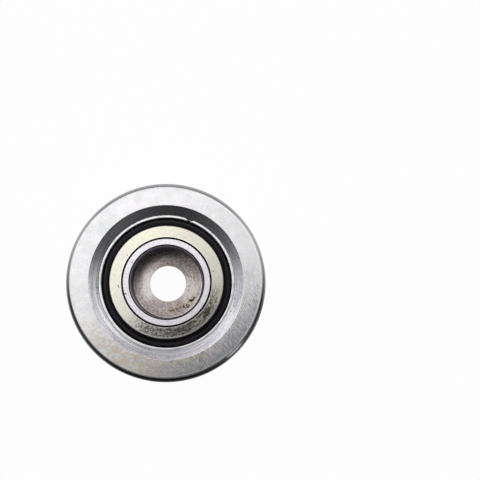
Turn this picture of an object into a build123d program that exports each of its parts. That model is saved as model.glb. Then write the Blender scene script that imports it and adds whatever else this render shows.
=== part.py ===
from build123d import *
import math
import os

# A sealed mast roller for a lift truck: a thick crowned outer ring that turns on
# caged cylindrical rollers round a bored hub. Every piece is turned about Z. The hub
# stands on its rear face at Z = 0, and the dished front with its seal looks up +Z.
# The sizes are in millimetres. Across, they build up from the hub's bore to the tread,
# and along the axis from the middle of the rollers out to each end, the same both ways.

# Hub, the bored inner ring
bore_diameter = 28.0
bore_chamfer = 0.5
bore_corner_chamfer = 0.5
web_thickness = 5.0
bolt_hole_diameter = 14.5
bolt_hole_chamfer = 0.3
nose_wall = 2.93
nose_chamfer = 0.35
race_shoulder = 1.8
race_chamfer = 0.3
hub_stand = 0.5

# Rollers
roller_diameter = 7.0
roller_length = 13.0
roller_chamfer = 0.4
roller_count = 15
race_clearance = 0.02
end_clearance = 0.1

# Cage
pocket_clearance = 0.1
cage_washer_clearance = 0.2
cage_rib_clearance = 0.3
cage_end_clearance = 0.3
cage_bar_relief = 0.6
cage_bar_shoulder = 1.2
cage_edge_chamfer = 0.3

# Side washers
washer_overlap = 3.0
washer_recess = 0.3
washer_face_fall = 0.35
washer_edge_chamfer = 0.4
washer_mouth_chamfer = 0.3

# Outer ring
rib_height = 1.27
rib_thickness = 1.7
race_corner_chamfer = 0.35
seal_shoulder = 1.6
seal_width = 2.6
groove_depth = 1.15
groove_width = 1.2
mouth_land = 0.4
dish_flare = 3.55
dish_depth = 2.0
dish_edge_chamfer = 0.2
rim_wall = 8.8
crown_radius = 500.0
tread_edge_radius = 2.8
tread_edge_slope = 25.0

# Seals
case_thickness = 0.5
case_fit_clearance = 0.03
case_eye_gap = 1.3
case_bend_chamfer = 0.4
lip_clearance = 0.1
lip_recess = 0.5
lip_edge_width = 0.4
lip_edge_bevel = 0.4
lip_crest_height = 0.4
lip_crest_width = 0.6
lip_channel_width = 0.6
lip_channel_depth = 0.5

# Retaining rings
retaining_ring_overlap = 1.0
retaining_ring_side_clearance = 0.1
retaining_ring_root_clearance = 0.1
retaining_ring_gap = 0.5
retaining_ring_bevel = 45.0
front_gap_angle = 70.5
rear_gap_angle = 205.0

# Radii that neighbouring pieces share, from the bore outwards
bore_radius = bore_diameter / 2
nose_radius = bore_radius + nose_wall
inner_race_radius = nose_radius + race_shoulder
washer_radius = inner_race_radius + washer_overlap
roller_radius = roller_diameter / 2
pitch_radius = inner_race_radius + race_clearance + roller_radius
outer_race_radius = pitch_radius + roller_radius + race_clearance
rib_radius = outer_race_radius - rib_height
seat_radius = rib_radius + seal_shoulder
groove_radius = seat_radius + groove_depth
dish_radius = seat_radius + dish_flare
tread_radius = dish_radius + rim_wall

# Distances that neighbouring pieces share, from the middle of the rollers outwards
half_race = roller_length / 2 + end_clearance
seal_foot = half_race + rib_thickness
groove_foot = seal_foot + seal_width
groove_top = groove_foot + groove_width
dish_foot = groove_top + mouth_land
half_outer = dish_foot + dish_depth
half_hub = half_outer + hub_stand
washer_top = half_hub - washer_recess

# A half section stands upright in XZ, with its own zero at the middle of the rollers.
# A turned piece that is the same from both ends is drawn above it and mirrored below.
section = Plane(origin=(0, 0, half_hub), x_dir=(1, 0, 0), z_dir=(0, -1, 0))
middle_plane = Plane.XY.offset(half_hub)

os.makedirs("parts", exist_ok=True)


def corner(sketch, radius, distance):
    """The corner of a section at a radius, and at a distance from the middle."""
    return sketch.vertices().sort_by_distance((radius, distance))[0]


# Hub: one turned and ground piece, bored from both ends down to a web with a bolt hole
with BuildPart() as inner_ring:
    with BuildSketch(section) as hub_section:
        with BuildLine():
            Polyline(
                (bolt_hole_diameter / 2, 0),
                (bolt_hole_diameter / 2, web_thickness / 2),
                (bore_radius, web_thickness / 2),
                (bore_radius, half_hub),
                (nose_radius, half_hub),
                (nose_radius, half_race),
                (inner_race_radius, half_race),
                (inner_race_radius, 0),
                close=True,
            )
        make_face()
        chamfer(corner(hub_section, bolt_hole_diameter / 2, web_thickness / 2), bolt_hole_chamfer)
        chamfer(corner(hub_section, bore_radius, web_thickness / 2), bore_corner_chamfer)
        chamfer(corner(hub_section, bore_radius, half_hub), bore_chamfer)
        chamfer(corner(hub_section, nose_radius, half_hub), nose_chamfer)
        chamfer(corner(hub_section, inner_race_radius, half_race), race_chamfer)
        mirror(about=Plane.XZ)
    revolve(axis=Axis.Z)
inner_ring.part.label = "inner_ring"
export_step(inner_ring.part, "parts/inner_ring.step")

# Side washers: hardened collars pressed on the hub's noses against the race shoulders,
# where their flanks keep the rollers in line and their rims run under the seals
with BuildPart() as front_side_washer:
    with BuildSketch(section) as washer_section:
        with BuildLine():
            Polyline(
                (nose_radius, half_race),
                (washer_radius, half_race),
                (washer_radius, washer_top - washer_face_fall),
                (nose_radius, washer_top),
                close=True,
            )
        make_face()
        chamfer(corner(washer_section, washer_radius, washer_top), washer_edge_chamfer)
        chamfer(corner(washer_section, nose_radius, washer_top), washer_mouth_chamfer)
    revolve(axis=Axis.Z)
front_side_washer.part.label = "front_side_washer"
export_step(front_side_washer.part, "parts/front_side_washer.step")

with BuildPart() as rear_side_washer:
    mirror(front_side_washer.part, about=middle_plane)
rear_side_washer.part.label = "rear_side_washer"
export_step(rear_side_washer.part, "parts/rear_side_washer.step")

# Outer ring: a hardened ring with a roller track between two ribs, a seal seat and a
# retaining ring groove at each end, a dished face, and a slightly crowned tread. The
# tread's edges are turned round first, and the faces are then ground down into them.
face_slope = math.radians(tread_edge_slope)
half_tread = half_outer - tread_edge_radius * math.cos(face_slope)
crown_drop = crown_radius - math.sqrt(crown_radius**2 - half_tread**2)
face_radius = tread_radius - crown_drop - tread_edge_radius * (1 - math.sin(face_slope))

with BuildPart() as outer_ring:
    with BuildSketch(section) as ring_section:
        with BuildLine():
            Polyline(
                (tread_radius, 0),
                (outer_race_radius, 0),
                (outer_race_radius, half_race),
                (rib_radius, half_race),
                (rib_radius, seal_foot),
                (seat_radius, seal_foot),
                (seat_radius, groove_foot),
                (groove_radius, groove_foot),
                (groove_radius, groove_top),
                (seat_radius, groove_top),
                (seat_radius, dish_foot),
                (dish_radius, half_outer),
                (face_radius, half_outer),
            )
            tread_edge = (tread_radius - crown_drop, half_tread)
            RadiusArc((face_radius, half_outer), tread_edge, tread_edge_radius)
            RadiusArc(tread_edge, (tread_radius, 0), crown_radius)
        make_face()
        chamfer(corner(ring_section, outer_race_radius, half_race), race_corner_chamfer)
        chamfer(corner(ring_section, dish_radius, half_outer), dish_edge_chamfer)
        mirror(about=Plane.XZ)
    revolve(axis=Axis.Z)
outer_ring.part.label = "outer_ring"
export_step(outer_ring.part, "parts/outer_ring.step")

# Seal cases: pressed steel cups that slip into the seats and give the rubber its back
case_radius = seat_radius - case_fit_clearance
case_wall_radius = case_radius - case_thickness
case_eye_radius = washer_radius + case_eye_gap
case_floor = seal_foot + case_thickness

with BuildPart() as front_seal_case:
    with BuildSketch(section) as case_section:
        with BuildLine():
            Polyline(
                (case_eye_radius, seal_foot),
                (case_radius, seal_foot),
                (case_radius, groove_foot),
                (case_wall_radius, groove_foot),
                (case_wall_radius, case_floor),
                (case_eye_radius, case_floor),
                close=True,
            )
        make_face()
        chamfer(corner(case_section, case_radius, seal_foot), case_bend_chamfer)
    revolve(axis=Axis.Z)
front_seal_case.part.label = "front_seal_case"
export_step(front_seal_case.part, "parts/front_seal_case.step")

with BuildPart() as rear_seal_case:
    mirror(front_seal_case.part, about=middle_plane)
rear_seal_case.part.label = "rear_seal_case"
export_step(rear_seal_case.part, "parts/rear_seal_case.step")

# Seal lips: rubber moulded in the cases, with a raised back between two channels,
# that reach in past the case's eye to run on the side washers
lip_radius = washer_radius + lip_clearance
lip_top = groove_foot - lip_recess
inner_channel = lip_radius + lip_edge_width
outer_channel = case_wall_radius - lip_channel_width
back_start = inner_channel + lip_channel_width
crest_middle = (back_start + outer_channel) / 2
lip_crest = lip_top + lip_crest_height

with BuildPart() as front_seal_lip:
    with BuildSketch(section):
        with BuildLine():
            Polyline(
                (outer_channel, lip_top),
                (outer_channel + lip_channel_width / 2, lip_top - lip_channel_depth),
                (case_wall_radius, lip_top),
                (case_wall_radius, case_floor),
                (case_eye_radius, case_floor),
                (case_eye_radius, seal_foot),
                (lip_radius + lip_edge_bevel, seal_foot),
                (lip_radius, seal_foot + lip_edge_bevel),
                (lip_radius, lip_top),
                (inner_channel, lip_top),
                (inner_channel + lip_channel_width / 2, lip_top - lip_channel_depth),
                (back_start, lip_top),
                (crest_middle - lip_crest_width / 2, lip_crest),
                (crest_middle + lip_crest_width / 2, lip_crest),
                close=True,
            )
        make_face()
    revolve(axis=Axis.Z)
front_seal_lip.part.label = "front_seal_lip"
export_step(front_seal_lip.part, "parts/front_seal_lip.step")

with BuildPart() as rear_seal_lip:
    mirror(front_seal_lip.part, about=middle_plane)
rear_seal_lip.part.label = "rear_seal_lip"
export_step(rear_seal_lip.part, "parts/rear_seal_lip.step")

# Retaining rings: flat spring rings cut through once, their ends bevelled so that a
# blade lifts them out, sprung into the grooves on top of the seal cases
ring_inner_radius = seat_radius - retaining_ring_overlap
ring_outer_radius = groove_radius - retaining_ring_root_clearance
ring_thickness = groove_width - retaining_ring_side_clearance
bevel_slope = math.tan(math.radians(retaining_ring_bevel))
bevel_point = ring_inner_radius - retaining_ring_gap / 2 / bevel_slope
bevel_half_width = (groove_radius - bevel_point) * bevel_slope
gap_wedge = (
    (bevel_point, 0),
    (groove_radius, bevel_half_width),
    (groove_radius, -bevel_half_width),
)

with BuildPart() as front_retaining_ring:
    with BuildSketch(middle_plane.offset(groove_foot)):
        Circle(ring_outer_radius)
        Circle(ring_inner_radius, mode=Mode.SUBTRACT)
        with PolarLocations(0, 1, start_angle=front_gap_angle):
            Polygon(*gap_wedge, align=None, mode=Mode.SUBTRACT)
    extrude(amount=ring_thickness)
front_retaining_ring.part.label = "front_retaining_ring"
export_step(front_retaining_ring.part, "parts/front_retaining_ring.step")

with BuildPart() as rear_retaining_ring:
    with Locations(Rotation(0, 0, rear_gap_angle - front_gap_angle)):
        add(front_retaining_ring.part.mirror(middle_plane))
rear_retaining_ring.part.label = "rear_retaining_ring"
export_step(rear_retaining_ring.part, "parts/rear_retaining_ring.step")

# Cage: one moulded ring that floats between the ribs and the side washers, its pockets
# cupped round the rollers, its bars relieved outside to let the grease past
cage_inner_radius = washer_radius + cage_washer_clearance
cage_outer_radius = rib_radius - cage_rib_clearance
half_cage = seal_foot - cage_end_clearance
half_pocket = roller_length / 2 + pocket_clearance
half_relief = half_pocket - cage_bar_shoulder

with BuildPart() as roller_cage:
    with BuildSketch(section) as cage_section:
        with BuildLine():
            Polyline(
                (cage_inner_radius, 0),
                (cage_inner_radius, half_cage),
                (cage_outer_radius, half_cage),
                (cage_outer_radius, half_relief),
                (cage_outer_radius - cage_bar_relief, half_relief),
                (cage_outer_radius - cage_bar_relief, 0),
                close=True,
            )
        make_face()
        chamfer(corner(cage_section, cage_inner_radius, half_cage), cage_edge_chamfer)
        chamfer(corner(cage_section, cage_outer_radius, half_cage), cage_edge_chamfer)
        mirror(about=Plane.XZ)
    revolve(axis=Axis.Z)
    with Locations(middle_plane):
        with PolarLocations(pitch_radius, roller_count):
            Cylinder(roller_radius + pocket_clearance, 2 * half_pocket, mode=Mode.SUBTRACT)
roller_cage.part.label = "roller_cage"
export_step(roller_cage.part, "parts/roller_cage.step")

# Rollers: hardened cylinders with bevelled ends, one in each of the cage's pockets
roller_foot = half_hub - roller_length / 2
for number, place in enumerate(PolarLocations(pitch_radius, roller_count), start=1):
    with BuildPart() as roller:
        with BuildSketch(Plane(place).offset(roller_foot)):
            Circle(roller_radius)
        extrude(amount=roller_length)
        chamfer(roller.edges().filter_by(GeomType.CIRCLE), roller_chamfer)
    roller.part.label = f"roller_{number:02d}"
    export_step(roller.part, f"parts/{roller.part.label}.step")
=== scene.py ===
import math

import bpy
from mathutils import Matrix, Vector


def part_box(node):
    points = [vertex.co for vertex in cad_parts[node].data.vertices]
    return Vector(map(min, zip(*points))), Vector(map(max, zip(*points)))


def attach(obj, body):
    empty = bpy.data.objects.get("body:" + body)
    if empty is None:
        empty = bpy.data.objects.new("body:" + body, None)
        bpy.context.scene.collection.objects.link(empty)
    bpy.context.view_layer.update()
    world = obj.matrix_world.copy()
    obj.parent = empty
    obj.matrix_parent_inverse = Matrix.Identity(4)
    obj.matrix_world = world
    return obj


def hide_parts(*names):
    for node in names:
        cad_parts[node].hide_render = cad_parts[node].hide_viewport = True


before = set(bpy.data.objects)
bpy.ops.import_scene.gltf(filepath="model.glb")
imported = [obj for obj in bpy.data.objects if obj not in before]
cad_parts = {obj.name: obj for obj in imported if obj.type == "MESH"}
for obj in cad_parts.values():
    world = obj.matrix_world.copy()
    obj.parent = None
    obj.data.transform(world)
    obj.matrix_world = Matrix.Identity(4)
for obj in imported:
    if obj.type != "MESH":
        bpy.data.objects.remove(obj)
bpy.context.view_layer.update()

# Hub: the bored inner ring that the mast's stub axle carries. It is one piece of
# bearing steel, its end faces and its track ground, and its two bores turned down to a
# web that the bolt goes through. The floor of a bore is dull and a little rusty, with
# painted light and shadow on it.
mm = 0.001
hub_low, hub_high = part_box("inner_ring")
middle = (hub_low.z + hub_high.z) / 2
half_hub = hub_high.z - middle
track_radius = hub_high.x
nose_radius = 16.93 * mm
half_track = 6.6 * mm
bore_radius = 14.0 * mm
half_web = 2.5 * mm
bolt_hole_radius = 7.25 * mm
bore_corner = 0.5 * mm
mouth_radius = bore_radius + bore_corner
floor_radius = bore_radius - bore_corner
broken_corner = 0.3 * mm
sharp_corner = 0.1 * mm
hub_pale = (0.77, 0.745, 0.785, 1)
hub_bright = (0.86, 0.83, 0.88, 1)
bore_brown = (0.55, 0.475, 0.465, 1)
bore_beige = (1.0, 0.92, 0.89, 1)
bore_shadow = (0.24, 0.20, 0.20, 1)
bore_shadow_black = (0.03, 0.026, 0.028, 1)
bore_rust = (0.045, 0.02, 0.014, 1)
bore_stain = (0.55, 0.38, 0.26, 1)
bore_lip = (1.0, 0.95, 0.88, 1)
wall_blue = (0.40, 0.40, 0.48, 1)
wall_black = (0.09, 0.08, 0.09, 1)
wall_pale = (0.58, 0.57, 0.66, 1)
wall_edge = (0.03, 0.028, 0.03, 1)
seam_black = (0.012, 0.011, 0.012, 1)
rust_bold = [((8.6, -6.9), (9.5, -6.9)), ((9.5, -6.9), (10.4, -5.7))]
rust_faint = [((4.4, -8.6), (7.8, -9.2)), ((1.4, -10.4), (4.6, -10.6))]
worn_spot = [((9.9, -2.0), (9.3, -5.6))]
hub_nicks = [((-13.2, 7.5), (-13.0, 7.6)), ((-15.6, -4.4), (-15.3, -4.6))]


def rounded(corners, guard=0.02 * mm):
    """A closed outline through (radius, height, rounding) corners, as points in a half plane.

    A point close before and after each arc keeps the flats flat when they are shaded.
    """
    outline = []
    for number, (radius, height, rounding) in enumerate(corners):
        here = Vector((radius, height))
        way_in = (here - Vector(corners[number - 1][:2])).normalized()
        way_out = (Vector(corners[(number + 1) % len(corners)][:2]) - here).normalized()
        turn = way_in.x * way_out.y - way_in.y * way_out.x
        turn = math.copysign(math.acos(max(-1, min(1, way_in.dot(way_out)))), turn)
        reach = rounding * math.tan(abs(turn) / 2)
        start = here - way_in * reach
        spoke = Vector((way_in.y, -way_in.x)) * math.copysign(rounding, turn)
        outline.append(start - way_in * guard)
        steps = 3 if rounding < mm else 10
        for step in range(steps + 1):
            outline.append(start - spoke + Matrix.Rotation(turn * step / steps, 2) @ spoke)
        outline.append(here + way_out * (reach + guard))
    return outline


def lathe(name, outline, cut_at=0.0, cut=None, steps=240):
    """A mesh object turned about Z from an outline, whose heights are from the middle.

    A cut takes an opening out of the turn: it gives half its angle at a radius.
    """
    area = sum(a.x * b.y - b.x * a.y for a, b in zip(outline, outline[1:] + outline[:1]))
    if area < 0:
        outline = outline[::-1]
    count = len(outline)
    points, faces = [], []
    for step in range(steps + 1 if cut else steps):
        for point in outline:
            half = cut(point.x) if cut else 0
            angle = cut_at + half + 2 * (math.pi - half) * step / steps
            across, away = point.x * math.cos(angle), point.x * math.sin(angle)
            points.append((across, away, point.y + middle))
    for step in range(steps):
        here, there = step * count, (step + 1) * count % len(points)
        for k in range(count):
            after = (k + 1) % count
            faces.append((here + k, there + k, there + after, here + after))
    if cut:
        faces += [tuple(range(count)), tuple(range(len(points) - 1, len(points) - count - 1, -1))]
    mesh = bpy.data.meshes.new(name)
    mesh.from_pydata(points, [], faces)
    mesh.shade_smooth()
    for number in range(steps * count, len(faces)):
        mesh.polygons[number].use_smooth = False
    piece = bpy.data.objects.new(name, mesh)
    bpy.context.scene.collection.objects.link(piece)
    return piece


def mirrored(corners):
    """The same corners on the rear half."""
    return [(radius, -height, rounding) for radius, height, rounding in corners]


def fit(piece, node, body, finish):
    """Gives a piece its finish, and sets it on its body in place of a CAD node."""
    piece.data.materials.append(finish)
    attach(piece, body)
    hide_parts(node)


class Shade:
    """One shader socket. A sum on shades adds the Math nodes that work it out."""

    def __init__(self, socket):
        self.socket = socket

    def add(self, kind, settings=None, inputs=None, output=0):
        """Adds any node to the same tree: its settings first, then its sockets."""
        tree = self.socket.id_data
        node = tree.nodes.new(f"ShaderNode{kind}")
        for name, value in (settings or {}).items():
            setattr(node, name, value)
        for name, value in (inputs or {}).items():
            if isinstance(value, Shade):
                tree.links.new(value.socket, node.inputs[name])
            else:
                node.inputs[name].default_value = value
        return Shade(node.outputs[output])

    def math(self, operation, first, second=0.0):
        """A Math node on two numbers or shades."""
        return self.add("Math", {"operation": operation}, {0: first, 1: second})

    def __add__(self, other):
        return self.math("ADD", self, other)

    def __sub__(self, other):
        return self.math("SUBTRACT", self, other)

    def __rsub__(self, other):
        return self.math("SUBTRACT", other, self)

    def __mul__(self, other):
        return self.math("MULTIPLY", self, other)

    def __abs__(self):
        return self.math("ABSOLUTE", self)

    __radd__ = __add__
    __rmul__ = __mul__


def rise(value, low, high):
    """A smooth step from 0 at low to 1 at high, where low may be the greater."""
    ends = {"Value": value, "From Min": low, "From Max": high}
    return value.add("MapRange", {"interpolation_type": "SMOOTHSTEP"}, ends)


def blend(share, first, second):
    """The first colour where the share is 0, and the second where it is 1."""
    return share.add("Mix", {"data_type": "RGBA"}, {0: share, 6: first, 7: second}, 2)


def noise(place, scale, detail=2.0):
    """Soft noise round 0.5, with so many lumps to the metre."""
    return place.add("TexNoise", {}, {"Vector": place, "Scale": scale, "Detail": detail})


def vector(operation, first, second=(0, 0, 0), output=0):
    """A Vector Math node on a place."""
    return first.add("VectorMath", {"operation": operation}, {0: first, 1: second}, output)


def hues(place, scale, detail=2.0):
    """Soft noise of three colours round mid grey."""
    return place.add("TexNoise", {}, {"Vector": place, "Scale": scale, "Detail": detail}, 1)


def mottled(share, colour, place, scale, detail=2.0):
    """A colour with so many lighter, darker and faintly tinted lumps to the metre, by a share."""
    tint = 0.38
    lumps = {0: tint, 6: noise(place, scale, detail), 7: hues(place, scale, detail)}
    lumps = place.add("Mix", {"data_type": "RGBA"}, lumps, 2)
    settings = {"data_type": "RGBA", "blend_type": "LINEAR_LIGHT", "clamp_result": True}
    return place.add("Mix", settings, {0: share, 6: colour, 7: lumps}, 2)


def marks(place, strokes, width, wander):
    """1 on thin strokes from (x, y) to (x, y) in millimetres, whose sides wander a little."""
    strayed = vector("MULTIPLY", vector("SUBTRACT", hues(place, 900), (0.5,) * 3), (wander,) * 3)
    strayed = vector("ADD", place, strayed)
    nearest = 1.0
    for start, end in strokes:
        start, end = Vector((*start, 0)) * mm, Vector((*end, 0)) * mm
        along = (end - start).normalized()
        from_middle = vector("SUBTRACT", strayed, (start + end) / 2)
        aside = abs(vector("DOT_PRODUCT", from_middle, (-along.y, along.x, 0), 1))
        beyond = abs(vector("DOT_PRODUCT", from_middle, along, 1)) - (end - start).length / 2
        nearest = place.math("MINIMUM", nearest, place.math("MAXIMUM", aside, beyond))
    return rise(nearest, width, width * 0.3)


class Turned:
    """Where a point of a turned piece lies: its place, radius, height and way round."""

    def __init__(self, material):
        nodes = material.node_tree.nodes
        self.place = Shade(nodes.new("ShaderNodeTexCoord").outputs["Object"])
        flat = vector("MULTIPLY", self.place, (1, 1, 0))
        self.radius = vector("LENGTH", flat, output=1)
        self.around = vector("NORMALIZE", flat)
        self.height = abs(vector("DOT_PRODUCT", self.place, (0, 0, 1), 1) - middle)

    def towards(self, degrees, spread):
        """1 in a direction from the axis, down to 0 at a spread of degrees to either side."""
        angle = math.radians(degrees)
        way = (math.cos(angle), math.sin(angle), 0)
        return rise(vector("DOT_PRODUCT", self.around, way, 1), math.cos(math.radians(spread)), 1)

    def lines(self, pitch, run=1.5):
        """Fine tool lines round the piece, a pitch apart, that fade in and out on the way."""
        sweep = (self.radius - self.height) * (1 / pitch)
        along = sweep.add("CombineXYZ", {}, {"Z": sweep})
        turn = vector("MULTIPLY", self.around, (run, run, 0))
        return noise(vector("ADD", turn, along), 1.0, 1.0)


def material_of(name, **constants):
    """A new material and its shader, with the sockets that are the same all over set."""
    material = bpy.data.materials.new(name)
    material.use_nodes = True
    shader = material.node_tree.nodes["Principled BSDF"]
    for socket, value in constants.items():
        shader.inputs[socket.replace("_", " ")].default_value = value
    return material, shader


def feed(shader, **shades):
    """Links shades to the shader's sockets."""
    for name, shade in shades.items():
        shade.socket.id_data.links.new(shade.socket, shader.inputs[name.replace("_", " ")])


def bump(height, depth):
    """The normal of a surface that a height of 0 to 1 lifts by up to a depth."""
    return height.add("Bump", {}, {"Distance": depth, "Height": height})


def bore_floor(at):
    """The web's dull brown face, with painted light left and right, painted shade in front, and
    painted shadow at the back.
    """
    specked = rise(noise(at.place, 1300, 4), 0.4, 0.6) * 0.45
    grooved = rise(at.lines(0.5 * mm, 2.5), 0.36, 0.64) * 0.45
    # Painted light to the left and right, and painted shade in front.
    painted_light_left = at.towards(182, 60) * rise(at.radius, 11.8 * mm, 9.4 * mm) * 0.8
    painted_light_right = at.towards(-18, 44) * 0.42
    painted_shade_front = at.towards(-94, 60) * 0.4
    pale = specked + grooved + painted_light_left - painted_shade_front + painted_light_right
    # Painted shadow of the bore's wall over the back of the floor.
    oil = at.towards(98, 108) * rise(at.radius, 8.2 * mm, 11.6 * mm) * 0.94
    oil = oil.math("MAXIMUM", oil, at.towards(70, 60) * 0.66)
    steel = blend(oil, blend(pale, bore_brown, bore_beige), bore_shadow)
    steel = mottled(0.28 + oil * 0.1, steel, at.place, 1300, 4)
    # Painted shadow, deepest in the corner under the wall at the back.
    corner = at.towards(125, 85) * rise(at.radius, 10 * mm, 12.8 * mm)
    steel = blend(corner * 0.6, steel, bore_shadow_black)
    worn = marks(at.place, worn_spot, 1.6 * mm, 2 * mm)
    steel = blend(worn * 0.5, steel, bore_lip)
    # Painted highlight along the floor's edge on the lower right.
    rim = rise(at.radius, floor_radius - 0.12 * mm, floor_radius) * at.towards(-60, 100)
    return blend(rim * 0.7, steel, bore_lip)


def bore_wall(at):
    """The bore's wall: painted shade, black by the floor and blue-grey above it, painted light on
    its upper side, and dark along its mouth.
    """
    # Painted shade: the wall goes black towards the floor.
    lit = rise(at.height, half_hub - 6 * mm, half_hub - 2 * mm)
    steel = blend(lit, wall_black, wall_blue)
    # Painted light on the wall's upper side.
    steel = blend(at.towards(95, 75), steel, wall_pale)
    return blend(rise(at.radius, bore_radius, bore_radius + 0.08 * mm), steel, wall_edge)


def hub_pits(at):
    """Rust pits in the bore's floor, and nicks in the hub's end."""
    speckle = noise(at.place, 1500, 3)
    pits = marks(at.place, rust_faint, 1.2 * mm, 1.2 * mm) * rise(speckle, 0.5, 0.58) * 0.9
    bold = marks(at.place, rust_bold, 0.5 * mm, 1.2 * mm) * rise(speckle, 0.32, 0.44)
    pits = pits.math("MAXIMUM", pits, bold)
    pits = pits * rise(at.height, half_web + 1 * mm, half_web + 0.5 * mm)
    return pits.math("MAXIMUM", pits, marks(at.place, hub_nicks, 0.28 * mm, 0.3 * mm) * 0.8)


def hub_finish():
    """Ground lavender-white ends, and dull bores with turning lines."""
    material, shader = material_of("hub_finish", Metallic=1.0, Anisotropic=0.3)
    at = Turned(material)
    blotch = noise(at.place, 380, 3)
    ground = blend(rise(blotch, 0.3, 0.7), hub_pale, hub_bright)
    ground = mottled(0.3, ground, at.place, 1500)
    bored = rise(at.radius, mouth_radius + 0.08 * mm, mouth_radius - 0.08 * mm)
    wall = rise(at.radius, bore_radius - 0.42 * mm, bore_radius - 0.22 * mm)
    dull = blend(wall, bore_floor(at), bore_wall(at))
    stain = marks(at.place, rust_bold + rust_faint, 1.3 * mm, 1.2 * mm) * 0.5
    pits = hub_pits(at)
    steel = blend(pits, blend(stain * bored, blend(bored, ground, dull), bore_stain), bore_rust)
    lines = at.lines(0.16 * mm) * 0.5 + at.lines(0.5 * mm, 3.0) * bored
    feed(
        shader,
        Base_Color=blend(seam(at), steel, seam_black),
        Roughness=0.24 + bored * (0.26 - at.towards(188, 55) * 0.1) + pits * 0.3 + blotch * 0.08,
        Normal=bump(lines, 0.006 * mm),
    )
    return material


def seam(at):
    """The dirt that has settled where the hub's nose and the side washer meet."""
    across = rise(abs(at.radius - nose_radius), 0.44 * mm, 0.34 * mm)
    return across * rise(at.height, half_track, half_hub - 1 * mm)


def hub_half(side):
    """The corners of the hub's section from its web to one end."""
    return [
        (bolt_hole_radius, side * half_web, sharp_corner),
        (bore_radius, side * half_web, bore_corner),
        (bore_radius, side * half_hub, bore_corner),
        (nose_radius, side * half_hub, broken_corner),
        (nose_radius, side * half_track, sharp_corner),
        (track_radius, side * half_track, broken_corner),
    ]


hub = lathe("hub", rounded(hub_half(1) + hub_half(-1)[::-1]))
fit(hub, "inner_ring", "inner", hub_finish())


# Side washers: hardened collars pressed on the hub's noses, ground and then passivated.
# The film is pale yellow where it is whole, and where oil has lain on it, it has gone
# olive, brown and purple in fine speckles.
# The film's brightness round the washer is partly painted light and shade.
washer_low, washer_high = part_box("front_side_washer")
washer_radius = washer_high.x
washer_foot = washer_low.z - middle
washer_top = washer_high.z - middle
washer_fall = 0.35 * mm
washer_foot_corner = 0.15 * mm
washer_top_corner = 0.4 * mm
film_yellow = (0.69, 0.68, 0.57, 1)
film_pink = (0.67, 0.63, 0.58, 1)
film_lit = (0.90, 0.88, 0.78, 1)
film_shade = (0.68, 0.65, 0.61, 1)
film_shade_dark = (0.36, 0.34, 0.31, 1)
film_olive = (0.06, 0.06, 0.033, 1)
film_purple = (0.075, 0.05, 0.08, 1)
film_worn = (0.95, 0.94, 0.88, 1)
speck_dark = (0.05, 0.045, 0.04, 1)
washer_pits = [
    ((-18.3, -1.3), (-18.1, -1.9)),
    ((17.8, 4.4), (17.9, 4.2)),
    ((-15.1, 10.4), (-15.0, 10.2)),
]


def clean_film(at):
    """The film where no oil has lain: painted light in front, and yellow and pink clouds behind.
    """
    film = blend(rise(noise(at.place, 120), 0.45, 0.62), film_yellow, film_pink)
    # Painted light: the film is paler in front.
    film = blend(at.towards(104, 140), film_lit, film)
    return mottled(0.22, film, at.place, 1400)


def worn_film(at):
    """The rim and the foot, where the film has worn off bright."""
    rim = rise(at.radius, washer_radius - 0.8 * mm, washer_radius - 0.5 * mm)
    rim = rim * at.towards(-95, 120) * 0.7
    foot = rise(at.radius, nose_radius + 0.75 * mm, nose_radius + 0.6 * mm)
    return rim.math("MAXIMUM", rim, foot * 0.7)


def washer_specks(at):
    """Dark specks in the film, and a few pits."""
    specks = rise(noise(at.place, 900, 1), 0.78, 0.81)
    pits = marks(at.place, washer_pits, 0.3 * mm, 0.4 * mm) * 0.75
    return specks.math("MAXIMUM", specks, pits)


def washer_finish():
    """A pale yellow film that turns olive and purple in speckles on one side, with painted shade
    over its front.
    """
    material, shader = material_of("washer_finish", Metallic=1.0, Anisotropic=0.3)
    at = Turned(material)
    fine = noise(at.place, 1500, 4)
    inner = rise(at.radius, washer_radius - 0.7 * mm, washer_radius - 1.6 * mm)
    streaks = at.lines(0.45 * mm, 9.0) * 0.5 + noise(at.place, 1000, 5) * 0.5
    olive = at.towards(-48, 52) * rise(streaks, 0.41, 0.53) * (0.35 + inner * 0.65)
    dashes = rise(at.lines(0.5 * mm, 17.0) * 0.4 + fine * 0.6, 0.44, 0.56)
    purple = at.towards(-94, 46) * dashes
    # Painted shade: a darker, duller mottle laid over the front.
    dull = mottled(0.2, blend(rise(fine, 0.42, 0.62), film_shade, film_shade_dark), at.place, 1700)
    film = blend(at.towards(-72, 68) * 0.9, clean_film(at), dull)
    film = blend(purple * 0.85, blend(olive * 0.92, film, film_olive), film_purple)
    film = blend(worn_film(at), film, film_worn)
    film = blend(washer_specks(at), film, speck_dark)
    feed(
        shader,
        Base_Color=blend(seam(at), film, seam_black),
        Roughness=0.32 + olive * 0.1 + purple * 0.12,
        Normal=bump(at.lines(0.2 * mm) + fine * 0.5, 0.004 * mm),
    )
    return material


washer_corners = [
    (nose_radius, washer_foot, sharp_corner),
    (washer_radius, washer_foot, washer_foot_corner),
    (washer_radius, washer_top - washer_fall, broken_corner),
    (nose_radius, washer_top, washer_top_corner),
]
passivated = washer_finish()
front_washer = lathe("front_washer", rounded(washer_corners))
fit(front_washer, "front_side_washer", "inner", passivated)
rear_washer = lathe("rear_washer", rounded(mirrored(washer_corners)))
fit(rear_washer, "rear_side_washer", "inner", passivated)


# Rollers: hardened bearing steel, through-ground and bevelled at the ends, that run
# between the hub's track and the outer ring's. They are bright, with a film of grease.
roller_bright = (0.60, 0.61, 0.63, 1)
roller_grey = (0.50, 0.51, 0.53, 1)


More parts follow.
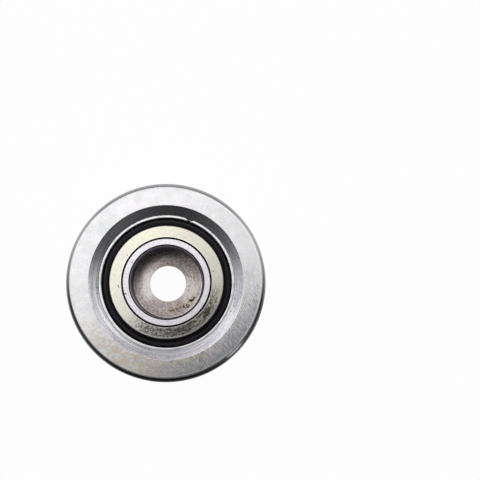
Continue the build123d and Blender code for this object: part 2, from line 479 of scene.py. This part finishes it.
def roller_finish():
    """Fine-ground steel, with cloudy patches of grease."""
    material, shader = material_of("roller_finish", Metallic=1.0, Coat_Roughness=0.2)
    place = Turned(material).place
    cloud = noise(place, 260, 4)
    scratch = noise(vector("MULTIPLY", place, (1, 1, 14)), 700, 3)
    feed(
        shader,
        Base_Color=blend(cloud, roller_bright, roller_grey),
        Roughness=0.12 + cloud * 0.16,
        Coat_Weight=rise(cloud, 0.45, 0.65) * 0.6,
        Normal=bump(scratch, 0.002 * mm),
    )
    return material


ground_roller = roller_finish()
for name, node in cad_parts.items():
    if name.startswith("roller_") and name != "roller_cage":
        node.material_slots[0].material = ground_roller


# Cage: a ring of glass-filled nylon, moulded in one piece with a pocket for each
# roller. It is off-white turned ivory by the grease, with the gloss of the mould.
nylon_ivory = (0.62, 0.57, 0.43, 1)
nylon_amber = (0.40, 0.31, 0.17, 1)


def cage_finish():
    """Ivory nylon, stained amber by the grease, with a faint moulded grain."""
    material, shader = material_of("cage_finish", Subsurface_Weight=0.1, IOR=1.53)
    place = Turned(material).place
    stain = noise(place, 190, 4)
    feed(
        shader,
        Base_Color=blend(rise(stain, 0.4, 0.7), nylon_ivory, nylon_amber),
        Roughness=0.38 + stain * 0.2,
        Normal=bump(noise(place, 2600, 2), 0.01 * mm),
    )
    return material


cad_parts["roller_cage"].material_slots[0].material = cage_finish()


# Outer ring: the thick ring that rolls in the mast's channel, turned from bearing steel,
# hardened, and ground on its faces and its crowned tread. The dish was left as turned.
ring_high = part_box("outer_ring")[1]
tread_radius = ring_high.x
half_ring = ring_high.z - middle
race_radius = 25.77 * mm
rib_radius = 24.5 * mm
rib_top = 8.3 * mm
seat_radius = 26.1 * mm
groove_radius = 27.25 * mm
groove_foot = 10.9 * mm
groove_top = 12.1 * mm
dish_foot = 12.5 * mm
dish_radius = 29.65 * mm
race_corner = 0.35 * mm
rib_corner = 0.2 * mm
groove_lip_corner = 0.05 * mm
groove_corner = 0.08 * mm
dish_corner = 0.25 * mm
crown_radius = 500 * mm
crown_steps = 6
crown_rounding = 2 * mm
crown_to_edge = 0.5 * mm
tread_edge = 2.8 * mm
tread_slope = math.radians(25)
edge_width = tread_edge * (1 - math.sin(tread_slope))
half_tread = half_ring - tread_edge * math.cos(tread_slope)
edge_radius = tread_radius - crown_radius + math.sqrt(crown_radius**2 - half_tread**2)
edge_foot = half_ring - edge_width * math.tan(tread_slope)
face_radius = edge_radius - edge_width
stain_radius = edge_radius - 3 * mm
stroke_way = (0.88, 0.47, 0)
stroke_side = (-0.47, 0.88, 0)
strokes_across = 2600
strokes_along = 420
scrape_radius = 27.2 * mm
ring_pale = (0.67, 0.67, 0.675, 1)
ring_bright = (0.75, 0.74, 0.76, 1)
ring_lavender = (0.56, 0.54, 0.62, 1)
ring_edge_shade = (0.22, 0.22, 0.24, 1)
ring_white = (0.97, 0.97, 0.97, 1)
ring_beige = (0.62, 0.55, 0.40, 1)
ring_rose = (0.66, 0.49, 0.44, 1)
ring_shade_cool = (0.46, 0.46, 0.51, 1)
ring_scuff = (0.26, 0.27, 0.28, 1)
ring_dirt_and_shade = (0.14, 0.13, 0.14, 1)
ring_tread = (0.80, 0.80, 0.81, 1)
dish_pits = [
    ((24.5, -11.2), (24.8, -11.1)),
    ((25.8, -9.1), (25.9, -9.0)),
    ((26.0, -6.3), (26.1, -6.2)),
]


def stained(at, face, beige):
    """The face with its beige and rose stains, and a bluish painted shade over its outer part, all
    on the side towards the viewer.
    """
    fine = noise(at.place, 1100, 4)
    face = blend(at.towards(-85, 100) * rise(fine, 0.5, 0.66) * 0.3, face, ring_scuff)
    rose = at.towards(-104, 56) * rise(noise(at.place, 700, 3), 0.5, 0.6)
    rose = rose * rise(at.radius, stain_radius, dish_radius + 1 * mm)
    face = blend(rose * 0.55, blend(beige * 0.7, face, ring_beige), ring_rose)
    face = mottled(at.towards(-98, 60) * 0.16, face, at.place, 1300)
    face = mottled(at.towards(-60, 90) * 0.2, face, at.place, 330)
    # Painted shade: darker and bluish towards the face's outer edge on the lower right.
    outer_shade = at.towards(-52, 62) * rise(at.radius, dish_radius, stain_radius)
    return blend(outer_shade * 0.6, face, ring_shade_cool)


def grinding_strokes(at):
    """Soft noise, drawn out into the straight slanting strokes that cross the face."""
    across = vector("DOT_PRODUCT", at.place, stroke_way, 1) * strokes_across
    along = vector("DOT_PRODUCT", at.place, stroke_side, 1) * strokes_along
    return noise(across.add("CombineXYZ", {}, {"X": across, "Y": along}), 1.0, 3)


def painted_edge_light(at):
    """A painted highlight just inside the face's edge, and painted shade from there outwards,
    darkest on the lower side.
    """
    upper = at.towards(100, 42)
    spread = at.radius + at.towards(-90, 120) * 0.55 * mm + upper * 0.5 * mm - 0.25 * mm
    line = rise(abs(spread - (face_radius - 0.45 * mm)), 0.26 * mm, 0.12 * mm)
    line = line * at.towards(-10, 98) * 0.6
    edge_shade = rise(spread, face_radius - 0.3 * mm, face_radius)
    sides = rise(abs(vector("DOT_PRODUCT", at.around, (1, 0, 0), 1)), 0.4, 0.85)
    edge_shade = edge_shade * rise(at.height - sides * mm, half_ring - 1.9 * mm, half_ring - 0.9 * mm)
    edge_shade = edge_shade * (0.3 - upper * 0.1 + at.towards(-95, 120) * 0.65) * (1 - at.towards(-45, 8))
    return line, edge_shade


def turned_dish(at):
    """Turning lines of lavender and white steel, some of them scored bright."""
    streaky = at.lines(0.3 * mm, 3.0) * 0.6 + at.lines(0.14 * mm, 9.0) * 0.4
    dish = blend(rise(streaky, 0.36, 0.64), ring_lavender, ring_bright)
    scored = rise(at.lines(0.45 * mm, 1.2), 0.54, 0.58) * at.towards(-150, 60)
    dish = blend(scored * 0.9, dish, ring_white)
    return mottled(0.34, dish, at.place, 1600)


def dish_dirt_and_shade(at):
    """Pits in the dish, a scraped spot by the retaining ring, and a painted shadow line at the
    seat's edge.
    """
    scraped = at.towards(183, 11) * rise(noise(at.place, 1500, 3), 0.5, 0.56)
    scraped = scraped * rise(at.radius, scrape_radius, scrape_radius - 0.3 * mm)
    # Painted shadow in the gap round the retaining ring, at the seat's edge.
    seat_shadow = rise(abs(at.radius - seat_radius), 0.2 * mm, 0.08 * mm)
    seat_shadow = seat_shadow * rise(at.height, half_ring, dish_foot)
    pits = marks(at.place, dish_pits, 0.3 * mm, 0.3 * mm)
    # The scraped dirt and the painted shadow line together.
    dirt = scraped.math("MAXIMUM", scraped * 0.8, seat_shadow * 0.7)
    return pits.math("MAXIMUM", pits, dirt)


def ring_finish():
    """Ground faces with faint lines and stains, a streaky turned dish and a fine tread."""
    material, shader = material_of("ring_finish", Metallic=1.0, Anisotropic=0.35)
    at = Turned(material)
    dished = rise(at.radius, dish_radius + 0.15 * mm, dish_radius - 0.15 * mm)
    ground = rise(at.height, half_ring - 0.2 * mm, half_ring - 0.1 * mm)
    edge = rise(at.radius, face_radius, face_radius + 0.1 * mm)
    edge = edge * rise(at.height, half_tread - 0.5 * mm, half_tread)
    cloud = noise(at.place, 160, 3)
    beige = at.towards(-102, 62) * rise(noise(at.place, 480, 4), 0.36, 0.62)
    strokes = grinding_strokes(at)
    hatch = at.towards(-38, 62) * ground * (1 - dished)
    line, edge_shade = painted_edge_light(at)
    face = blend(rise(cloud, 0.35, 0.65), ring_pale, ring_bright)
    face = mottled(0.12, mottled(0.07, face, at.place, 260), at.place, 1500)
    face = stained(at, face, beige)
    face = blend(rise(strokes, 0.48, 0.36) * hatch * 0.5, face, ring_scuff)
    face = blend(rise(strokes, 0.5, 0.64) * hatch * 0.6, face, ring_white)
    # Painted highlight along the inside of the face's edge.
    face = blend(line, face, ring_white)
    tread = blend(rise(at.lines(0.25 * mm, 2.0), 0.3, 0.7), ring_tread, ring_bright)
    steel = blend(ground, mottled(0.1, tread, at.place, 500), face)
    # Painted shade over the rounded edge, darkest on the lower side.
    steel = blend(edge_shade, steel, ring_edge_shade)
    steel = blend(dished, steel, turned_dish(at))
    feed(
        shader,
        # Pits, the scraped spot and the painted shadow at the seat's edge.
        Base_Color=blend(dish_dirt_and_shade(at) * dished, steel, ring_dirt_and_shade),
        Roughness=0.25 + beige * 0.08 + cloud * 0.06 + dished * 0.05 - ground * 0.09 - edge * 0.14,
        Normal=bump(at.lines(0.2 * mm) + at.lines(0.9 * mm) * 0.6 + strokes * hatch, 0.006 * mm),
    )
    return material


def ring_half(side):
    """The corners of the ring's section from the track to the face's outer edge."""
    return [
        (race_radius, side * half_track, race_corner),
        (rib_radius, side * half_track, rib_corner),
        (rib_radius, side * rib_top, sharp_corner),
        (seat_radius, side * rib_top, sharp_corner),
        (seat_radius, side * groove_foot, groove_lip_corner),
        (groove_radius, side * groove_foot, groove_corner),
        (groove_radius, side * groove_top, groove_corner),
        (seat_radius, side * groove_top, groove_lip_corner),
        (seat_radius, side * dish_foot, dish_corner),
        (dish_radius, side * half_ring, dish_corner),
        (face_radius, side * half_ring, sharp_corner),
        (edge_radius, side * edge_foot, tread_edge - sharp_corner),
    ]


def crown(step):
    """A corner on the crowned tread, so many steps of its height from the middle."""
    height = (half_tread - crown_to_edge) * step / crown_steps
    drop = crown_radius - math.sqrt(crown_radius**2 - height**2)
    return (tread_radius - drop, height, crown_rounding)


ring_corners = ring_half(1) + [crown(step) for step in range(crown_steps, -crown_steps - 1, -1)]
ring_corners += ring_half(-1)[::-1]
ring = lathe("outer_ring_ground", rounded(ring_corners), steps=300)
fit(ring, "outer_ring", "outer", ring_finish())


# Seal cases: cups pressed from thin sheet steel, slipped into the outer ring's seats.
# The rubber is moulded into them, and only the rim of the wall shows, beside it.
case_low, case_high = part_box("front_seal_case")
case_radius = case_high.x
case_foot = case_low.z - middle
case_top = case_high.z - middle
case_eye_radius = 23.03 * mm
case_wall = 0.5 * mm
sheet_edge = 0.08 * mm
outer_bend = 0.4 * mm
inner_bend = 0.15 * mm
sheet_grey = (0.52, 0.53, 0.55, 1)
sheet_dark = (0.36, 0.36, 0.38, 1)


def case_finish():
    """Cold-rolled sheet, drawn upwards by the press, with a dull oiled surface."""
    material, shader = material_of("case_finish", Metallic=1.0)
    at = Turned(material)
    drawn = noise(vector("MULTIPLY", at.place, (1, 1, 0.2)), 900, 3)
    feed(
        shader,
        Base_Color=blend(drawn, sheet_grey, sheet_dark),
        Roughness=0.3 + drawn * 0.2,
        Normal=bump(drawn, 0.01 * mm),
    )
    return material


case_corners = [
    (case_eye_radius, case_foot, sheet_edge),
    (case_radius, case_foot, outer_bend),
    (case_radius, case_top, sheet_edge),
    (case_radius - case_wall, case_top, sheet_edge),
    (case_radius - case_wall, case_foot + case_wall, inner_bend),
    (case_eye_radius, case_foot + case_wall, sheet_edge),
]
sheet_steel = case_finish()
front_case = lathe("front_case", rounded(case_corners))
fit(front_case, "front_seal_case", "outer", sheet_steel)
rear_case = lathe("rear_case", rounded(mirrored(case_corners)))
fit(rear_case, "rear_seal_case", "outer", sheet_steel)


# Seal lips: nitrile rubber moulded on the cases, with a low back between two channels
# and a lip that runs on the washer's rim. It is black, with a dull bloom on its back.
lip_low, lip_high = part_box("front_seal_lip")
lip_foot = lip_low.z - middle
lip_crest = lip_high.z - middle
lip_radius = 21.83 * mm
lip_top = lip_crest - 0.4 * mm
channel_depth = 0.5 * mm
channel_width = 0.6 * mm
lip_edge = 0.4 * mm
crest_width = 0.6 * mm
crest_corner = 0.5 * mm
channel_corner = 0.15 * mm
bond_corner = 0.06 * mm
lip_corner = 0.08 * mm
case_wall_radius = case_radius - case_wall
inner_channel = lip_radius + lip_edge
outer_channel = case_wall_radius - channel_width
crest_middle = (inner_channel + channel_width + outer_channel) / 2
rubber_black = (0.007, 0.006, 0.009, 1)
rubber_bloom = (0.028, 0.022, 0.038, 1)


def rubber_finish():
    """Black nitrile, moulded smooth, with bloom in patches and a fine matt grain."""
    material, shader = material_of("rubber_finish", Specular_IOR_Level=0.3)
    at = Turned(material)
    bloom = rise(noise(at.place, 210, 4), 0.42, 0.68)
    dust = rise(noise(at.place, 2400, 2), 0.7, 0.8)
    feed(
        shader,
        Base_Color=blend(bloom * 0.5 + dust * 0.5, rubber_black, rubber_bloom),
        Roughness=0.42 + bloom * 0.2,
        Normal=bump(noise(at.place, 3200, 3) + at.lines(0.5 * mm) * 0.6, 0.012 * mm),
    )
    return material


lip_corners = [
    (outer_channel, lip_top, channel_corner),
    (outer_channel + channel_width / 2, lip_top - channel_depth, sharp_corner),
    (case_wall_radius, lip_top, bond_corner),
    (case_wall_radius, case_foot + case_wall, sharp_corner),
    (case_eye_radius, case_foot + case_wall, bond_corner),
    (case_eye_radius, case_foot, bond_corner),
    (inner_channel, lip_foot, sharp_corner),
    (lip_radius, lip_foot + lip_edge, sharp_corner),
    (lip_radius, lip_top, lip_corner),
    (inner_channel, lip_top, lip_corner),
    (inner_channel + channel_width / 2, lip_top - channel_depth, sharp_corner),
    (inner_channel + channel_width, lip_top, channel_corner),
    (crest_middle - crest_width / 2, lip_crest, crest_corner),
    (crest_middle + crest_width / 2, lip_crest, crest_corner),
]
rubber = rubber_finish()
front_lip = lathe("front_lip", rounded(lip_corners))
fit(front_lip, "front_seal_lip", "outer", rubber)
rear_lip = lathe("rear_lip", rounded(mirrored(lip_corners)))
fit(rear_lip, "rear_seal_lip", "outer", rubber)


# Retaining rings: blanked from spring steel strip, tumbled bright, and sprung into the
# grooves over the seals. Each is cut through once, with its ends bevelled for a blade.
spring_low, spring_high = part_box("front_retaining_ring")
spring_foot = spring_low.z - middle
spring_top = spring_high.z - middle
spring_inside = 25.1 * mm
spring_outside = 27.15 * mm
front_gap = math.radians(70.5)
rear_gap = math.radians(205)
half_gap = 0.25 * mm
spring_corner = 0.12 * mm
spring_bright = (0.86, 0.86, 0.87, 1)
spring_worn = (0.70, 0.69, 0.70, 1)
spring_dark_line = (0.22, 0.21, 0.22, 1)


def gap_angle(radius):
    """Half the angle of the gap, whose sides open at 45 degrees from the inner edge."""
    return math.asin((half_gap + radius - spring_inside) / radius)


def spring_finish():
    """Tumbled spring steel, with short scratches round it and duller patches."""
    material, shader = material_of("spring_finish", Metallic=1.0)
    at = Turned(material)
    worn = noise(at.place, 340, 4)
    scratches = at.lines(0.25 * mm, 9.0)
    steel = blend(rise(worn, 0.45, 0.7), spring_bright, spring_worn)
    # A darker line round the ring's middle, on the lower right.
    line = rise(abs(at.radius - (spring_inside + 0.75 * mm)), 0.26 * mm, 0.12 * mm)
    feed(
        shader,
        Base_Color=blend(line * at.towards(-60, 75) * 0.4, steel, spring_dark_line),
        Roughness=0.22 + worn * 0.15,
        Normal=bump(scratches, 0.006 * mm),
    )
    return material


spring_corners = [
    (spring_inside, spring_foot, spring_corner),
    (spring_outside, spring_foot, spring_corner),
    (spring_outside, spring_top, spring_corner),
    (spring_inside, spring_top, broken_corner),
]
spring_steel = spring_finish()
front_spring = lathe("front_spring", rounded(spring_corners), front_gap, gap_angle)
fit(front_spring, "front_retaining_ring", "outer", spring_steel)
rear_spring = lathe("rear_spring", rounded(mirrored(spring_corners)), rear_gap, gap_angle)
fit(rear_spring, "rear_retaining_ring", "outer", spring_steel)


# Floor: a plain white table, which the hub stands on. The camera sees it white, but for
# the shadow that the roller leaves on it, and the metal mirrors it as a grey one, whose
# brightness is painted shade and light.
floor_reach = 3.0
floor_white = (0.85, 0.85, 0.85, 1)
seen_glow = 0.97
mirrored_before = 0.08
mirrored_close = 0.26
mirrored_beyond = 0.55
close_radius = 60 * mm
before_radius = 150 * mm
hole_light_radius = 10 * mm
hole_shade_radius = 14 * mm


def floor_finish():
    """White to the camera, with some true white for the shadow. Where metal mirrors it,
    it is paler beyond the roller than before it, and white under the bolt hole."""
    material, shader = material_of("floor_finish", Base_Color=floor_white, Roughness=0.9)
    nodes, links = material.node_tree.nodes, material.node_tree.links
    path = nodes.new("ShaderNodeLightPath")
    camera, glossy = Shade(path.outputs["Is Camera Ray"]), Shade(path.outputs["Is Glossy Ray"])
    mirror = glossy.math("MAXIMUM", glossy, Shade(path.outputs["Is Transmission Ray"]))
    at = Turned(material)
    # Painted shade in the floor as the metal mirrors it: dark before the roller, a little lighter
    # close to it, and palest beyond it.
    close = rise(at.radius, before_radius, close_radius) * (mirrored_close - mirrored_before)
    beyond = rise(vector("DOT_PRODUCT", at.around, (0, 1, 0), 1), -0.35, 0.6)
    reflected = mirrored_before + close * (1 - beyond)
    reflected = reflected + beyond * (mirrored_beyond - mirrored_before)
    # Painted light under the bolt hole, as the metal mirrors it.
    under_hole = rise(at.radius, hole_shade_radius, hole_light_radius)
    reflected = camera.math("MAXIMUM", reflected, under_hole)
    strength = camera.math("MAXIMUM", camera, reflected)
    glow = camera.add("Emission", {}, {"Color": strength})
    both = {0: camera * seen_glow + mirror, 1: Shade(shader.outputs[0]), 2: glow}
    surface = camera.add("MixShader", {}, both)
    links.new(surface.socket, nodes["Material Output"].inputs["Surface"])
    return material


floor_mesh = bpy.data.meshes.new("floor")
quarters = [(-1, -1), (1, -1), (1, 1), (-1, 1)]
floor_corners = [(x * floor_reach, y * floor_reach, 0) for x, y in quarters]
floor_mesh.from_pydata(floor_corners, [], [(0, 1, 2, 3)])
floor = bpy.data.objects.new("floor", floor_mesh)
bpy.context.scene.collection.objects.link(floor)
floor_mesh.materials.append(floor_finish())


# Room: a pale studio that the steel mirrors. A wide panel overhead ends above the roller,
# in a soft glow, with a pale wall and two soft windows behind it. The side towards the
# viewer is dark, but for one small bright gap and two faint low patches.
panel_side = (-0.41, 0.91, 0.0)
overhead_way = (-0.12, 0, 0.993)
window_height = math.radians(36)
left_window = math.radians(160)
right_window = math.radians(25)
gap_around = math.radians(-45)
gap_height = math.radians(20)
front_patch_height = math.radians(32)
left_patch_around = math.radians(-152)
left_patch_height = math.radians(25)
dark_glow = 0.025
wall_glow = 0.37
overhead_glow = 0.16
panel_glow = 0.835
panel_left_glow = 0.16
left_window_glow = 0.68
right_window_glow = 0.64
gap_glow = 0.9
front_patch_glow = 0.06
left_patch_glow = 0.045


def direction(around, height):
    """The direction at an angle round from X and at a height over the horizon."""
    flat = math.cos(height)
    return (flat * math.cos(around), flat * math.sin(around), math.sin(height))


def facing(way, low, high):
    """A smooth step on how closely the sky's direction follows a way."""
    return rise(vector("DOT_PRODUCT", sky, way, 1), low, high)


world = bpy.data.worlds.new("studio")
bpy.context.scene.world = world
world.use_nodes = True
sky = Shade(world.node_tree.nodes.new("ShaderNodeTexCoord").outputs["Generated"])
panel = facing((0, 0, 1), 0.68, 0.84) * facing(panel_side, -0.052, 0.0)
panel_left = facing((-1, 0, 0), -0.3, 0.3)
overhead = facing(overhead_way, 0.9, 0.99)
back_wall = facing((0, 1, 0), -0.2, 0.7) * facing((0, 0, 1), -0.5, 0.1)
left = facing(direction(left_window, window_height), 0.84, 0.97)
right = facing(direction(right_window, window_height), 0.84, 0.97)
bright_gap = facing(direction(gap_around, gap_height), 0.988, 0.997)
front_patch = facing(direction(gap_around, front_patch_height), 0.8, 0.98)
left_patch = facing(direction(left_patch_around, left_patch_height), 0.8, 0.98)
glow = dark_glow + back_wall * wall_glow + overhead * overhead_glow
glow = glow + panel * (panel_glow + panel_left * panel_left_glow)
glow = glow + front_patch * front_patch_glow + left_patch * left_patch_glow
glow = glow + left * left_window_glow + right * right_window_glow + bright_gap * gap_glow
path = world.node_tree.nodes.new("ShaderNodeLightPath")
camera_ray = Shade(path.outputs["Is Camera Ray"])
strength = camera_ray.math("MAXIMUM", camera_ray, glow)
background = world.node_tree.nodes["Background"]
world.node_tree.links.new(strength.socket, background.inputs["Color"])


# Lamp: one large soft light, up and to the left of the roller, which gives the rubber
# its sheen and the table its shadow.
lamp_size = 0.5
lamp_watts = 0.4
lamp_around = math.radians(125)
lamp_height = math.radians(52)
lamp_distance = 0.7

lamp_data = bpy.data.lights.new("soft_lamp", "AREA")
lamp_data.size = lamp_size
lamp_data.energy = lamp_watts
lamp = bpy.data.objects.new("soft_lamp", lamp_data)
bpy.context.scene.collection.objects.link(lamp)
lamp_way = Vector(direction(lamp_around, lamp_height))
lamp.location = Vector((0, 0, middle)) + lamp_way * lamp_distance
lamp.rotation_euler = lamp_way.to_track_quat("Z", "Y").to_euler()


# Camera: almost straight over the roller, which lies low and left in the picture. The
# face's middle is seen at a pixel of it, and the roller's axis leans a little in it. The
# picture was cut from a larger one, so the lens looks at a pixel below its middle.
picture = 480
focal_pixels = 676
lens_pixel = (240, 276)
face_pixel = (166.65, 282.15)
face_distance = 0.2587
axis_seen = Vector((0.0685, 0.052, 1)).normalized()

face_middle = Vector((0, 0, ring_high.z))
across_seen = (Vector((1, 0, 0)) - axis_seen * axis_seen.x).normalized()
turn = Matrix((across_seen, axis_seen.cross(across_seen), axis_seen))
sideways = (face_pixel[0] - lens_pixel[0]) / focal_pixels
upwards = (lens_pixel[1] - face_pixel[1]) / focal_pixels
face_seen = Vector((sideways, upwards, -1)) * face_distance
camera_data = bpy.data.cameras.new("camera")
camera_data.sensor_width = 36
camera_data.lens = camera_data.sensor_width * focal_pixels / picture
camera_data.shift_y = (lens_pixel[1] - picture / 2) / picture
camera_data.clip_start = 0.01
camera = bpy.data.objects.new("camera", camera_data)
bpy.context.scene.collection.objects.link(camera)
camera.matrix_world = Matrix.Translation(face_middle - turn @ face_seen) @ turn.to_4x4()
bpy.context.scene.camera = camera
bpy.context.scene.view_settings.view_transform = "Standard"
